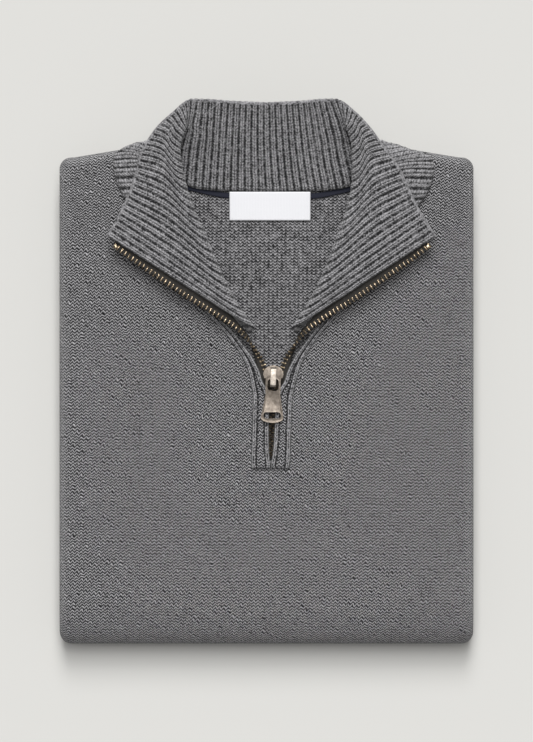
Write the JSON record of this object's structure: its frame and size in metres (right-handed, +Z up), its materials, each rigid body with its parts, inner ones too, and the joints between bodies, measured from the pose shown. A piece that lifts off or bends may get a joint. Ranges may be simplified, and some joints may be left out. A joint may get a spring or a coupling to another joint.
{
  "type": "quarter zip sweater",
  "caption": "Folded knitted sweater, front up, with a ribbed collar turned over at both sides, a part-open metal zip, its slider and a hinged pull tab.",
  "frame": {"origin": "under the middle of the folded stack, on the surface it lies on", "axes": "+X to the right of the front as seen from above, +Y along the garment towards the collar, +Z up out of the front"},
  "size_m": [0.2986, 0.392, 0.0617],
  "materials": {
    "jersey": "matte heather grey wool, plain knit",
    "inner_layers": "matte heather grey wool, plain knit",
    "rib_knit": "matte heather grey wool, rib knit",
    "neck_tape": "matte dark blue woven tape",
    "label": "smooth white woven satin",
    "zip_tape": "matte dark woven tape",
    "zip_metal": "antique nickel-bronze, worn satin"
  },
  "bodies": {
    "sweater": {"front": "jersey", "back": "jersey", "hidden_layers": "inner_layers", "collar": "rib_knit", "placket": "jersey", "neck_tape": "neck_tape", "label": "label", "zip_tape_left": "zip_tape", "zip_tape_right": "zip_tape", "zip_slider": "zip_metal"},
    "pull_tab": {"pull_tab": "zip_metal"}
  },
  "joints": [
    {"name": "pull_tab_hinge", "type": "hinge", "parent": "sweater", "child": "pull_tab", "pos_m": [0.0049, -0.00425, 0.04333], "axis": [-0.9996, 0.0297, 0], "range_deg": [0, 150]}
  ]
}
